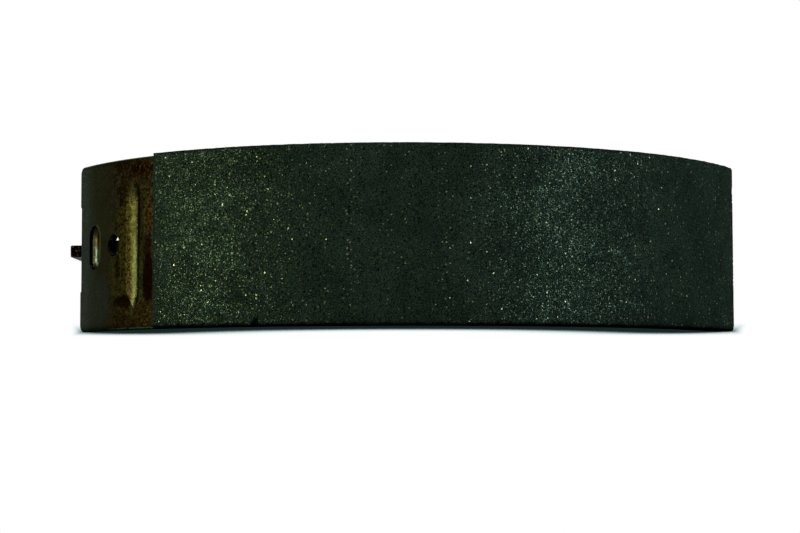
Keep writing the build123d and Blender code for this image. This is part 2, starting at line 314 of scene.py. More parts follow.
def lining_material(settings):
    """Moulded friction material: green-black compound full of fine grit and small glinting chips."""
    material, tree, surface, place = new_material("friction_compound")
    grain = effect(tree, "surface_grain", place, mottle_size=14.0, tooth_size=0.34, contrast=3.4)
    grit = effect(tree, "bound_chips", place, cell_size=0.32, chip_size=0.26, share=0.78)
    chips = effect(tree, "bound_chips", place, cell_size=1.1, chip_size=0.27, share=0.5)
    dark = settings.compound_colour * 0.2
    light = settings.compound_colour * 1.9
    colour = blend(tree, ramp(tree, grain["Tooth"], 0.34, 0.62), dark, light)
    # grit between green-grey and yellow-green, most of it faint, and a few cream chips
    pale = blend(tree, grit["Tint"], settings.cool_chip_colour, settings.warm_chip_colour)
    grit_share = times(tree, grit["Mask"], calc(tree, "POWER", grit["Random"], 1.6))
    colour = blend(tree, grit_share, colour, pale)
    chip_share = times(tree, chips["Mask"], ramp(tree, chips["Random"], 0.0, 1.0, 0.2, 1.0))
    colour = blend(tree, chip_share, colour, settings.bright_chip_colour)
    # broad smoky patches, and painted shade in the pits
    smoke = ramp(tree, grain["Mottle"], 0.0, 1.0, 0.35, 0.0)
    colour = blend(tree, smoke, colour, dark)
    pit = ramp(tree, grain["Tooth"], 0.37, 0.54, 0.24, 1.05)
    colour = blend(tree, minus(tree, 1.0, pit), colour, BLACK)
    rim = attribute(tree, "end_rim")
    colour = blend(tree, times(tree, rim, 0.7), colour, settings.rim_colour)
    # near black along the torn lower edge: painted shade on its downturned face
    torn = attribute(tree, "torn_edge")
    colour = blend(tree, torn, colour, settings.torn_shade_colour)
    # only clean grit and chips glint, and less where the face turns away
    worn = calc(tree, "MAXIMUM", torn, rim)
    clear = times(tree, minus(tree, 1.0, worn), minus(tree, 1.0, smoke))
    clear = times(tree, clear, pit)
    facing = put(tree, "ShaderNodeLayerWeight").outputs["Facing"]
    clear = times(tree, clear, ramp(tree, facing, 0.42, 0.72, 1.0, 0.0))
    glint = times(tree, clear, calc(tree, "MAXIMUM", grit_share, chip_share))
    gloss = times(tree, clear, 0.05)
    # the bumped normal, leant over by each chip's own tilt
    normal = bumped(tree, grain["Height"], 0.35, 0.3 * MM)
    for bits, lean in ((grit, 0.36), (chips, 0.6)):
        tilt = scaled(tree, bits["Tilt"], times(tree, bits["Mask"], lean))
        normal = vector_calc(tree, "ADD", normal, tilt)
    feed(tree, surface, {
        "Base Color": colour, "Metallic": calc(tree, "MAXIMUM", gloss, glint),
        "Roughness": ramp(tree, glint, 0.0, 0.6, 0.45, 0.25), "Specular IOR Level": 0.0,
        "Specular Tint": (0.3, 0.3, 0.3), "Normal": vector_calc(tree, "NORMALIZE", normal)})
    return material


# each patch of the table's bare end, a stain, a painted sheen or a painted shadow: its angle round the drum
# in degrees, then in millimetres its height, half run and half height, then its softness, break-up, colour
# and strength
TABLE_PATCHES = (
    # the first two patches are a painted bluish sheen over the toe end
    (-61.0, 0.0, 8.5, 60.0, 0.55, 0.10, "toe_sheen_colour", 0.9),
    (-53.5, -19.0, 6.5, 8.5, 0.5, 0.3, "toe_sheen_colour", 0.6),
    (-49.3, -24.0, 5.0, 5.0, 0.6, 0.5, "gold_coat_colour", 0.45),
    (-46.6, 1.0, 4.4, 17.5, 0.3, 0.4, "gold_coat_colour", 0.85),
    (-48.3, -9.0, 5.6, 8.0, 0.2, 0.3, "gold_coat_colour", 0.8),
    (-42.6, 4.0, 1.5, 15.0, 0.35, 0.3, "gold_coat_colour", 0.8),
    (-42.75, -10.5, 1.3, 9.0, 0.3, 0.2, "green_coat_colour", 0.95),
    (-43.0, -23.5, 11.0, 4.6, 0.3, 0.5, "gold_coat_colour", 0.9),
    (-41.0, 14.0, 2.4, 12.5, 0.4, 0.7, "deep_gold_coat_colour", 0.75),
    (-40.4, 7.0, 1.2, 7.0, 0.5, 0.8, "rust_coat_colour", 0.6),
    (-44.5, 23.5, 8.0, 3.6, 0.3, 1.0, "rust_coat_colour", 0.5),
    (-47.0, 17.0, 2.2, 5.0, 0.3, 1.2, "red_coat_colour", 0.85),
    (-42.5, 23.8, 6.5, 2.8, 0.2, 1.7, "red_coat_colour", 1.0),
    (-47.5, 25.5, 4.0, 1.6, 0.2, 1.2, "red_coat_colour", 0.9),
    (-46.6, -18.3, 5.4, 1.9, 0.3, 0.6, "red_coat_colour", 1.0),
    (-48.4, -7.5, 1.2, 5.0, 0.5, 0.4, "red_coat_colour", 0.75),
    (-45.75, 2.0, 0.8, 17.0, 0.4, 0.3, "deep_gold_coat_colour", 1.0),
    (-41.0, -2.0, 2.0, 5.0, 0.4, 0.9, "red_coat_colour", 0.85),
    (-40.8, -11.5, 2.5, 7.8, 0.2, 0.25, "red_coat_colour", 1.0),
    # these two narrow dark lines at the crease's foot are a painted shadow in the crease
    (-43.3, 8.0, 0.55, 11.5, 0.3, 0.15, "red_coat_colour", 1.0),
    (-43.6, -9.5, 0.6, 9.5, 0.3, 0.12, "dark_coat_colour", 1.0),
)


def patch_mask(tree, place, where, angle, height, half_run, half_height, softness, break_up):
    """One patch's mask, for a stain or for painted light, from its angle in degrees and its sizes in
    millimetres.
    """
    return effect(tree, "coat_stain", place, run=where["Run"], height=where["Height"],
                  centre_run=math.radians(angle) * TABLE_RADIUS, centre_height=height * MM,
                  half_run=half_run * MM, half_height=half_height * MM, softness=softness,
                  break_up=break_up)["Mask"]


def outer_face(tree, where):
    """The table's outer face, without the pocket and the holes."""
    return ramp(tree, where["Depth"], *FACE_DEPTHS, 1.0, 0.0)


def stains_and_painted_light(tree, place, where, colour, settings):
    """Oil, heat and rust stains over the outer face of the table's bare end, with a painted bluish sheen at
    the toe end and a painted shadow line in the crease.
    """
    outer = outer_face(tree, where)
    flecked = ramp(tree, noise(tree, place, 1300.0, 2.0, 0.6), 0.40, 0.50, 0.15, 1.0)
    for *outline, name, strength in TABLE_PATCHES:
        mask = times(tree, outer, times(tree, patch_mask(tree, place, where, *outline), strength))
        break_up = outline[-1]
        if break_up > 1.0:
            mask = times(tree, mask, flecked)
        colour = blend(tree, mask, colour, getattr(settings, name))
    return colour


def pocket_coat(tree, place, where, colour, settings):
    """The blind pocket: a painted highlight on the lip of its heel side, and a floor gold above with a
    painted highlight below.
    """
    height, depth = where["Height"], where["Depth"]
    along = minus(tree, where["Run"], math.radians(POCKET_ANGLE) * TABLE_RADIUS)
    past = minus(tree, calc(tree, "ABSOLUTE", height), POCKET_STRAIGHT / 2)
    past = calc(tree, "MAXIMUM", past, 0.0)
    ring = minus(tree, distance(tree, along, past), POCKET_WIDTH / 2)
    # a painted highlight on the pocket's rounded lip, on its heel side only
    lip = times(tree, ramp(tree, ring, -0.1 * MM, 0.15 * MM),
                ramp(tree, ring, 0.3 * MM, 0.9 * MM, 1.0, 0.0))
    side = times(tree, ramp(tree, along, 0.5 * MM, 2.5 * MM), ramp(tree, height, -6 * MM, -2 * MM))
    lip = times(tree, times(tree, lip, side), ramp(tree, depth, 0.3 * MM, 0.6 * MM, 1.0, 0.0))
    colour = blend(tree, lip, colour, settings.lip_highlight_colour)
    # a painted highlight on the pocket's floor, strongest low down, turning gold above
    floor = times(tree, ramp(tree, ring, -0.6 * MM, -1.2 * MM), ramp(tree, depth, 1.0 * MM, 1.4 * MM))
    floor = times(tree, floor, ramp(tree, depth, 2.4 * MM, 2.6 * MM, 1.0, 0.0))
    low = ramp(tree, height, 1.5 * MM, -1.5 * MM, 0.22, 1.0)
    dim = ramp(tree, height, 4.5 * MM, 2.0 * MM, 0.3, 1.0)
    share = times(tree, floor, times(tree, low, dim))
    grime = ramp(tree, noise(tree, place, 900.0, 3.0, 0.6), 0.35, 0.6, 0.7, 1.0)
    upwards = ramp(tree, height, -0.5 * MM, 3.5 * MM)
    tone = blend(tree, upwards, settings.pocket_highlight_colour, settings.gilt_coat_colour)
    return blend(tree, times(tree, share, grime), colour, tone)


def painted_crease_highlight(tree, place, where, colour, settings):
    """Painted highlight on the crease's flank: a strip that narrows towards both ends, brightest low down.
    """
    strip = patch_mask(tree, place, where, CREASE_HIGHLIGHT_ANGLE, -0.6, 0.95, 19.0, 0.45, 0.16)
    low = ramp(tree, where["Height"], 16 * MM, -14 * MM, 0.5, 1.0, kind="LINEAR")
    patchy = ramp(tree, noise(tree, place, 700.0, 4.0, 0.7), 0.3, 0.7, 0.65, 1.0)
    share = times(tree, strip, times(tree, low, patchy))
    colour = blend(tree, times(tree, share, outer_face(tree, where)), colour, settings.flank_highlight_colour)
    # the painted highlight's brightest core, low on the flank
    core = patch_mask(tree, place, where, CREASE_HIGHLIGHT_ANGLE + 0.15, -9.5, 0.6, 11.0, 0.5, 0.2)
    return blend(tree, times(tree, core, 0.8), colour, settings.flank_core_highlight_colour)


def steel_coat(tree, place, settings):
    """Old oily coat on rolled steel: a brown and olive mottle."""
    grain = effect(tree, "surface_grain", place, mottle_size=9.0, tooth_size=0.6, contrast=3.2)
    fine = effect(tree, "surface_grain", place, mottle_size=2.0, tooth_size=0.35, contrast=3.0)
    coat = blend(tree, grain["Mottle"], settings.dark_coat_colour, settings.olive_coat_colour)
    coat = blend(tree, times(tree, fine["Mottle"], 0.5), coat, settings.brown_coat_colour)
    return grain, fine, coat


def pores(tree, fine, place, colour, settings):
    """Dark pores of the coat."""
    pits = effect(tree, "bound_chips", place, cell_size=0.7, chip_size=0.42, share=0.4)
    tooth = ramp(tree, fine["Tooth"], 0.35, 0.6, 0.5, 0.0)
    dark = calc(tree, "MAXIMUM", tooth, times(tree, pits["Mask"], 0.6))
    return blend(tree, dark, colour, settings.pore_colour)


def speckled(tree, place, where, colour, settings):
    """Rust and bare specks over the speckled part, streaks low down, a painted highlight along its lower
    rim, and painted shade along the table's upper rim.
    """
    height = where["Height"]
    start, full = STAINED_FROM
    zone = ramp(tree, where["Run"], start * TABLE_RADIUS, full * TABLE_RADIUS)
    zone = times(tree, zone, outer_face(tree, where))
    specks = effect(tree, "bound_chips", place, cell_size=0.62, chip_size=0.6, share=0.8)
    shown = times(tree, zone, specks["Mask"])
    light = blend(tree, 1.0, colour, settings.speck_lift, kind="MULTIPLY")
    tint = blend(tree, ramp(tree, specks["Tint"], 0.40, 0.55), settings.rust_speck_colour, light)
    colour = blend(tree, times(tree, shown, 0.85), colour, tint)
    flattened = vector_calc(tree, "MULTIPLY", place, (1.0, 1.0, 7.0))
    low = times(tree, zone, ramp(tree, height, -17.5 * MM, -20 * MM))
    streaks = times(tree, low, ramp(tree, noise(tree, flattened, 320.0, 4.0, 0.7), 0.44, 0.56, 0.9, 0.0))
    colour = blend(tree, streaks, colour, settings.streak_colour)
    # a painted highlight along the table's lower rim, broken up by noise
    lower_rim = times(tree, ramp(tree, height, -TABLE_HALF + 0.8 * MM, -TABLE_HALF + 0.5 * MM),
                      ramp(tree, noise(tree, place, 300.0, 4.0, 0.7), 0.38, 0.5))
    colour = blend(tree, times(tree, zone, lower_rim), colour, settings.lower_rim_highlight_colour)
    # painted shade along the table's upper rim
    upper_rim = ramp(tree, height, TABLE_HALF - 1.6 * MM, TABLE_HALF - 0.4 * MM, 0.0, 0.75)
    return blend(tree, upper_rim, colour, settings.upper_rim_shade_colour)


def worn_edges(tree, place, colour, settings):
    """Broken edges rubbed bare where the normal leans between a face and its side."""
    normal = axes_of(tree, put(tree, "ShaderNodeNewGeometry").outputs["True Normal"])
    lean = calc(tree, "ABSOLUTE", normal["Z"])
    edge = times(tree, ramp(tree, lean, 0.5, 0.6), ramp(tree, lean, 0.8, 0.9, 1.0, 0.0))
    rim = effect(tree, "rim_wear", place, edge=edge, break_up=1.1)
    return blend(tree, rim["Wear"], colour, settings.bare_steel_colour)


def finish_steel(tree, surface, colour, grain, fine, roughness):
    """The shared gloss and tooth of coated steel."""
    height = plus(tree, fine["Height"], times(tree, grain["Height"], 0.7))
    feed(tree, surface, {
        "Base Color": colour, "Metallic": 1.0, "Specular Tint": (0.50, 0.52, 0.49),
        "Roughness": ramp(tree, fine["Mottle"], 0.0, 1.0, roughness - 0.06, roughness + 0.14),
        "Normal": bumped(tree, height, 0.3, 0.5 * MM)})


def table_material(settings):
    """The table: stains with a painted sheen and a painted shadow line, painted highlights in the crease,
    the pocket and along the lower rim, painted shade along the upper rim, and worn edges.
    """
    material, tree, surface, place = new_material("table_coat")
    where = effect(tree, "round_the_drum", place, drum_radius=DRUM_RADIUS, table_radius=TABLE_RADIUS)
    grain, fine, coat = steel_coat(tree, place, settings)
    coat = stains_and_painted_light(tree, place, where, coat, settings)
    coat = pores(tree, fine, place, coat, settings)
    coat = speckled(tree, place, where, coat, settings)
    coat = pocket_coat(tree, place, where, coat, settings)
    coat = painted_crease_highlight(tree, place, where, coat, settings)
    coat = worn_edges(tree, place, coat, settings)
    finish_steel(tree, surface, coat, grain, fine, 0.30)
    return material


def web_material(settings):
    """The web: the same coat, with a near-black nose that has a few rosy blotches."""
    material, tree, surface, place = new_material("web_coat")
    grain, fine, coat = steel_coat(tree, place, settings)
    coat = pores(tree, fine, place, coat, settings)
    coat = worn_edges(tree, place, coat, settings)
    axes = axes_of(tree, place)
    nose = times(tree, ramp(tree, axes["X"], NOSE_BACK, NOSE_BACK + 1 * MM, 1.0, 0.0),
                 ramp(tree, axes["Y"], NOSE_ROOT, NOSE_ROOT + 3 * MM, 1.0, 0.0))
    coat = blend(tree, nose, coat, settings.nose_colour)
    rosy = times(tree, nose, ramp(tree, noise(tree, place, 800.0, 1.0, 0.5), 0.54, 0.68, 0.0, 0.8))
    coat = blend(tree, rosy, coat, settings.nose_blotch_colour)
    finish_steel(tree, surface, coat, grain, fine, 0.42)
    return material


def weld_material(settings):
    """Weld metal under the same coat: darker, scaled and rough."""
    material, tree, surface, place = new_material("weld_scale")
    grain = effect(tree, "surface_grain", place, mottle_size=1.6, tooth_size=0.35, contrast=2.4)
    coat = blend(tree, grain["Mottle"], settings.dark_coat_colour, settings.brown_coat_colour)
    coat = blend(tree, ramp(tree, grain["Tooth"], 0.55, 0.75, 0.0, 0.5), coat, settings.bare_steel_colour)
    feed(tree, surface, {
        "Base Color": coat, "Metallic": 1.0, "Specular Tint": (0.5, 0.5, 0.5),
        "Roughness": ramp(tree, grain["Mottle"], 0.0, 1.0, 0.45, 0.75),
        "Normal": bumped(tree, grain["Height"], 0.5, 0.4 * MM)})
    return material


# --- The moulded lining and the weld beads ---

def sized_tree(name, sizes, counts):
    """A Geometry Nodes tree with a named input for each size and each count."""
    tree = bpy.data.node_groups.new(name, "GeometryNodeTree")
    tree.is_modifier = True
    for labels, kind in ((sizes, "NodeSocketFloat"), (counts, "NodeSocketInt")):
        for label in labels:
            tree.interface.new_socket(label, in_out="INPUT", socket_type=kind)
    tree.interface.new_socket("Geometry", in_out="OUTPUT", socket_type="NodeSocketGeometry")
    return tree, tree.nodes.new("NodeGroupInput").outputs


def position(tree):
    """Where each point of the mesh lies."""
    return put(tree, "GeometryNodeInputPosition").outputs[0]


def marked(tree, mesh, name, value):
    """A mesh that stores a number at each point for its material."""
    return put(tree, "GeometryNodeStoreNamedAttribute", {"Geometry": mesh, "Name": name, "Value": value},
               data_type="FLOAT", domain="POINT").outputs[0]


def moved(tree, mesh, **target):
    """A mesh with its points set to a position or pushed by an offset."""
    inputs = {label.title(): value for label, value in target.items()}
    return put(tree, "GeometryNodeSetPosition", {"Geometry": mesh, **inputs}).outputs[0]


def smoothed(tree, mesh):
    """A mesh shaded smooth."""
    return put(tree, "GeometryNodeSetShadeSmooth", {0: mesh}).outputs[0]


def finished_tree(tree, mesh, material):
    """Ends a tree with a plain mesh that has its material."""
    whole = put(tree, "GeometryNodeRealizeInstances", {0: mesh})
    coated = put(tree, "GeometryNodeSetMaterial", {"Geometry": whole.outputs[0], "Material": material})
    put(tree, "NodeGroupOutput", {0: coated.outputs[0]})
    return tree


def lining_tree(material):
    """Bends a gridded block to the drum, breaks its rims, tears its lower edge and grains its face."""
    tree, given = sized_tree("moulded_lining", (
        "Drum Radius", "Thickness", "Width", "Start Angle", "End Angle", "Grain Depth", "Rim Break",
        "Tear Width", "Tear Depth", "Notch Angle"), ("Arc Points", "Width Points", "Seed"))
    block = put(tree, "GeometryNodeMeshCube", {
        "Size": (1.0, 1.0, 1.0), "Vertices X": given["Arc Points"], "Vertices Y": given["Width Points"],
        "Vertices Z": LINING_LAYERS})
    spot = axes_of(tree, position(tree))
    share = plus(tree, spot["X"], 0.5)
    span = minus(tree, given["End Angle"], given["Start Angle"])
    angle = plus(tree, given["Start Angle"], times(tree, share, span))
    # the points crowd towards the torn lower edge
    crowded = calc(tree, "POWER", plus(tree, spot["Y"], 0.5, clamp=True), 1.3)
    across = times(tree, minus(tree, crowded, 0.5), given["Width"])
    level = plus(tree, spot["Z"], 0.5)
    run = times(tree, angle, given["Drum Radius"])
    flat = point(tree, run, across, given["Seed"])
    line = point(tree, run, given["Seed"], 0.0)
    # distances to the four rims of the friction face
    half = times(tree, given["Width"], 0.5)
    below = plus(tree, half, across)
    above = minus(tree, half, across)
    before = times(tree, minus(tree, angle, given["Start Angle"]), given["Drum Radius"])
    after = times(tree, minus(tree, given["End Angle"], angle), given["Drum Radius"])
    rim = calc(tree, "MINIMUM", above, calc(tree, "MINIMUM", before, after))
    uneven = ramp(tree, noise(tree, flat, 420.0, 3.0), 0.3, 0.75, 0.3, 1.5)
    reach = times(tree, given["Rim Break"], uneven)
    rim_drop = times(tree, reach, minus(tree, 1.0, calc(tree, "DIVIDE", rim, reach), clamp=True))
    # the torn lower edge: its width wanders, with small bites and one notch
    wander = ramp(tree, noise(tree, line, 260.0, 5.0, 0.7), 0.3, 0.72, 0.25, 1.1)
    bites = ramp(tree, noise(tree, line, 1100.0, 2.0, 0.6), 0.48, 0.66, 0.0, 1.1)
    offset = calc(tree, "ABSOLUTE", minus(tree, angle, given["Notch Angle"]))
    notch = ramp(tree, times(tree, offset, given["Drum Radius"]), 0.6 * MM, 1.3 * MM, 3.0, 0.0)
    tear = times(tree, given["Tear Width"], plus(tree, plus(tree, wander, bites), notch))
    torn = minus(tree, 1.0, calc(tree, "DIVIDE", below, tear), clamp=True)
    torn_drop = times(tree, given["Tear Depth"], calc(tree, "POWER", torn, 0.6))
    tooth = noise(tree, flat, 1500.0, 3.0, 0.65)
    pits = ramp(tree, noise(tree, flat, 520.0, 2.0), 0.25, 0.42, 1.2, 0.0)
    grain = times(tree, given["Grain Depth"], plus(tree, tooth, pits))
    drop = plus(tree, calc(tree, "MAXIMUM", rim_drop, torn_drop), grain)
    height = times(tree, level, minus(tree, given["Thickness"], drop))
    radius = plus(tree, minus(tree, given["Drum Radius"], given["Thickness"]), height)
    # side walls: a little roughness, always inwards
    wall = times(tree, given["Grain Depth"], noise(tree, flat, 800.0, 3.0))
    pinch = minus(tree, 1.0, calc(tree, "DIVIDE", times(tree, wall, 2.0), given["Width"]))
    target = point(tree, times(tree, radius, calc(tree, "SINE", angle)),
                   minus(tree, given["Drum Radius"], times(tree, radius, calc(tree, "COSINE", angle))),
                   times(tree, across, pinch))
    mesh = marked(tree, block.outputs["Mesh"], "torn_edge", ramp(tree, torn, 0.0, 0.25))
    mesh = marked(tree, mesh, "end_rim", ramp(tree, before, 0.7 * MM, 1.3 * MM, 1.0, 0.0))
    return finished_tree(tree, smoothed(tree, moved(tree, mesh, position=target)), material)


def weld_tree(material):
    """Lays rippled beads in the corner between web and table, in pairs above and below the web."""
    tree, given = sized_tree("weld_row", (
        "Drum Radius", "Seat Radius", "Web Half", "Leg", "Length", "Toe Angle", "First Angle", "Pitch",
        "Ripple Pitch", "Ripple Depth"), ("Row Count",))
    # one bead about the corner's line: x along the run, y up the web, z along the table
    block = put(tree, "GeometryNodeMeshCube", {
        "Size": (1.0, 1.0, 1.0), "Vertices X": BEAD_LENGTH_POINTS, "Vertices Y": BEAD_SIDE_POINTS,
        "Vertices Z": BEAD_SIDE_POINTS})
    spot = axes_of(tree, position(tree))
    run = times(tree, spot["X"], given["Length"])
    end = calc(tree, "POWER", calc(tree, "ABSOLUTE", times(tree, spot["X"], 2.0)), 3.0)
    taper = calc(tree, "SQRT", calc(tree, "MAXIMUM", minus(tree, 1.0, end), 0.004))
    u = plus(tree, spot["Y"], 0.5)
    v = plus(tree, spot["Z"], 0.5)
    rounding = calc(tree, "DIVIDE", calc(tree, "MAXIMUM", u, v),
                    calc(tree, "MAXIMUM", distance(tree, u, v), 0.0001))
    bow = times(tree, times(tree, u, v), given["Leg"])
    phase = calc(tree, "DIVIDE", minus(tree, run, bow), given["Ripple Pitch"])
    wave = calc(tree, "ABSOLUTE", calc(tree, "SINE", times(tree, phase, math.pi)))
    swell = times(tree, given["Ripple Depth"], minus(tree, 1.0, wave))
    size = times(tree, times(tree, given["Leg"], taper), minus(tree, 1.0, swell))
    size = times(tree, size, rounding)
    place = point(tree, run, times(tree, u, size), times(tree, v, size))
    bead = smoothed(tree, moved(tree, block.outputs["Mesh"], position=place))
    # the angle of each pair: the toe's own one, then the even row
    count = times(tree, plus(tree, given["Row Count"], 1.0), 2.0)
    line = put(tree, "GeometryNodeMeshLine", {"Count": count, "Offset": (0.0, 0.0, 0.0)})
    index = put(tree, "GeometryNodeInputIndex").outputs[0]
    pair = calc(tree, "FLOOR", calc(tree, "DIVIDE", index, 2.0))
    below = minus(tree, index, times(tree, pair, 2.0))
    row = plus(tree, given["First Angle"], times(tree, minus(tree, pair, 1.0), given["Pitch"]))
    toe = calc(tree, "LESS_THAN", pair, 0.5)
    angle = plus(tree, times(tree, toe, given["Toe Angle"]), times(tree, minus(tree, 1.0, toe), row))
    side = minus(tree, 1.0, times(tree, below, 2.0))
    seat = given["Seat Radius"]
    corner = point(tree, times(tree, seat, calc(tree, "SINE", angle)),
                   minus(tree, given["Drum Radius"], times(tree, seat, calc(tree, "COSINE", angle))),
                   times(tree, side, given["Web Half"]))
    flip = point(tree, 0.0, times(tree, below, math.pi), angle)
    beads = put(tree, "GeometryNodeInstanceOnPoints", {
        "Points": moved(tree, line.outputs[0], position=corner), "Instance": bead, "Rotation": flip})
    whole = put(tree, "GeometryNodeRealizeInstances", {0: beads.outputs[0]}).outputs[0]
    # a little roughness along the normals
    drift = noise(tree, position(tree), 900.0, 3.0, 0.6)
    normal = put(tree, "GeometryNodeInputNormal").outputs[0]
    push = scaled(tree, normal, times(tree, minus(tree, drift, 0.6), times(tree, given["Leg"], 0.12)))
    return finished_tree(tree, moved(tree, whole, offset=push), material)


def applied(name, tree, settings):
    """Runs a Geometry Nodes tree on an empty mesh and returns its result as a plain object.

    Each of the tree's inputs takes the setting of the same name."""
    holder = bpy.data.objects.new(name + "_holder", bpy.data.meshes.new(name + "_holder"))
    bpy.context.scene.collection.objects.link(holder)
    modifier = holder.modifiers.new("build", "NODES")
    modifier.node_group = tree
    for item in tree.interface.items_tree:
        if item.in_out == "INPUT":
            modifier[item.identifier] = getattr(settings, item.name.lower().replace(" ", "_"))
    view = bpy.context.evaluated_depsgraph_get()
    mesh = bpy.data.meshes.new_from_object(holder.evaluated_get(view), depsgraph=view)
    mesh.name = name
    piece = bpy.data.objects.new(name, mesh)
    bpy.context.scene.collection.objects.link(piece)
    bpy.data.objects.remove(holder)
    return piece


# --- Settings a user would change ---

def length_property(name, description, metres):
    """A length that a user would change."""
    return bpy.props.FloatProperty(name=name, description=description, default=metres, unit="LENGTH")


def angle_property(name, description, degrees):
    """An angle that a user would change."""
    return bpy.props.FloatProperty(name=name, description=description, default=math.radians(degrees),
                                   subtype="ANGLE")


def number_property(name, description, default):
    """A plain number that a user would change."""
    return bpy.props.FloatProperty(name=name, description=description, default=default)


def count_property(name, description, default):
    """A whole number that a user would change."""
    return bpy.props.IntProperty(name=name, description=description, default=default)


def colour_property(name, description, default):
    """A colour that a user would change."""
    return bpy.props.FloatVectorProperty(name=name, description=description, default=default,
                                         subtype="COLOR")


class ShoeLiningSettings(bpy.types.PropertyGroup):
    drum_radius: length_property("Drum radius", "Radius of the friction face", DRUM_RADIUS)
    thickness: length_property("Thickness", "Thickness of the lining", LINING_THICKNESS)
    width: length_property("Width", "Width of the lining along the drum's axis",
                           LINING_HIGH.z - LINING_LOW.z)
    start_angle: angle_property("Start", "Angle of the lining's toe end", -37.6)
    end_angle: angle_property("End", "Angle of the lining's heel end", 63.7)
    grain_depth: length_property("Grain depth", "Depth of the moulded grain", 0.1 * MM)
    rim_break: length_property("Rim break", "Size of the broken rims of the friction face", 0.5 * MM)
    tear_width: length_property("Tear width", "Width of the torn lower edge", 0.75 * MM)
    tear_depth: length_property("Tear depth", "Depth of the torn lower edge", 0.8 * MM)
    notch_angle: angle_property("Notch", "Angle of the one deep notch in the lower edge", -20.0)
    arc_points: count_property("Points along the arc", "Rows of mesh points along the arc", 420)
    width_points: count_property("Points across", "Rows of mesh points across the lining", 104)
    seed: count_property("Seed", "Another seed wears the lining differently", 7)
    compound_colour: colour_property("Compound", "Ground of the friction material",
                                     (0.0067, 0.0124, 0.0087))
    warm_chip_colour: colour_property("Warm grit", "Yellow-green grit", (0.031, 0.043, 0.019))
    cool_chip_colour: colour_property("Cool grit", "Grey-green grit", (0.018, 0.032, 0.024))
    bright_chip_colour: colour_property("Bright chips", "Cream chips", (0.120, 0.145, 0.072))
    rim_colour: colour_property("End rim", "Worn band at the lining's toe end", (0.0070, 0.0130, 0.0125))
    # painted shade on the torn lower edge
    torn_shade_colour: colour_property("Torn edge", "Fresh compound along the torn edge",
                                 (0.0018, 0.0027, 0.0016))


class ShoeSteelSettings(bpy.types.PropertyGroup):
    dark_coat_colour: colour_property("Dark coat", "Darkest oily coat", (0.0085, 0.0072, 0.0036))
    olive_coat_colour: colour_property("Olive coat", "Olive part of the coat", (0.0150, 0.0145, 0.0070))
    brown_coat_colour: colour_property("Brown coat", "Rusty brown part", (0.0150, 0.0100, 0.0040))
    # a painted bluish sheen at the table's toe end
    toe_sheen_colour: colour_property("Grey coat", "Bluish coat at the table's toe end",
                                      (0.0150, 0.0195, 0.0165))
    gold_coat_colour: colour_property("Gold coat", "Coat round the crease", (0.0190, 0.0168, 0.0034))
    deep_gold_coat_colour: colour_property("Deep gold coat", "Coat on the crease's shoulder",
                                           (0.0125, 0.0105, 0.0020))
    rust_coat_colour: colour_property("Rust", "Orange brown rust beside the lining",
                                      (0.0190, 0.0095, 0.0014))
    red_coat_colour: colour_property("Red coat", "Dark red stains", (0.0028, 0.0005, 0.0002))
    # painted highlights on the crease's flank: a broad strip and its brightest core
    flank_highlight_colour: colour_property("Rubbed crease", "Rubbed flank of the crease",
                                       (0.026, 0.027, 0.0065))
    flank_core_highlight_colour: colour_property("Crease core", "Brightest part of the flank", (0.038, 0.042, 0.015))
    green_coat_colour: colour_property("Green coat", "Green strip beside the crease", (0.030, 0.036, 0.007))
    # painted highlights on the pocket: on its rounded lip and low on its floor
    lip_highlight_colour: colour_property("Pocket lip", "Rubbed lip of the pocket", (0.038, 0.042, 0.024))
    pocket_highlight_colour: colour_property("Pocket floor", "Rubbed floor of the pocket", (0.060, 0.078, 0.050))
    gilt_coat_colour: colour_property("Pocket floor above", "Gold upper part of that floor",
                                      (0.16, 0.115, 0.024))
    pore_colour: colour_property("Pores", "Dark pores of the coat", (0.002, 0.001, 0.0005))
    speck_lift: colour_property("Bare specks", "What a bare speck multiplies the coat by", (1.9, 1.75, 1.6))
    rust_speck_colour: colour_property("Rust specks", "Dark rust specks", (0.0012, 0.0003, 0.0001))
    streak_colour: colour_property("Streaks", "Rust streaks low on the table", (0.0075, 0.0028, 0.0006))
    # a painted highlight along the lower rim, and painted shade along the upper rim
    lower_rim_highlight_colour: colour_property("Lower rim", "Rubbed line along the table's lower rim",
                                     (0.050, 0.080, 0.034))
    upper_rim_shade_colour: colour_property("Upper rim", "Dark line along the table's upper rim",
                                      (0.0025, 0.0040, 0.0015))
    bare_steel_colour: colour_property("Rubbed rim", "Rubbed edges", (0.085, 0.085, 0.045))
    # the web's nose is painted near black
    nose_colour: colour_property("Nose", "Black oil on the web's nose", (0.0010, 0.0008, 0.0005))
    nose_blotch_colour: colour_property("Nose blotches", "Rosy blotches on the nose", (0.055, 0.036, 0.036))


class ShoeWeldSettings(bpy.types.PropertyGroup):
    drum_radius: length_property("Drum radius", "Radius of the friction face", DRUM_RADIUS)
    seat_radius: length_property("Seat radius", "Radius of the table's hollow side",
                                 TABLE_RADIUS - TABLE_THICKNESS)
    web_half: length_property("Half web", "Half the web's thickness", WEB_HIGH.z)
    leg: length_property("Leg", "Height of a bead on the web and the table", 1.8 * MM)
    length: length_property("Length", "Length of a bead", 6.0 * MM)
    toe_angle: angle_property("Toe bead", "Angle of the pair at the toe", -59.55)
    first_angle: angle_property("First bead", "Angle of the row's first pair", -35.5)
    pitch: angle_property("Pitch", "Angle from pair to pair", 10.5)
    ripple_pitch: length_property("Ripple pitch", "Length of one ripple", 0.75 * MM)
    ripple_depth: number_property("Ripple depth", "Share of the leg that a ripple sinks", 0.14)
    row_count: count_property("Row count", "Pairs in the row", 10)


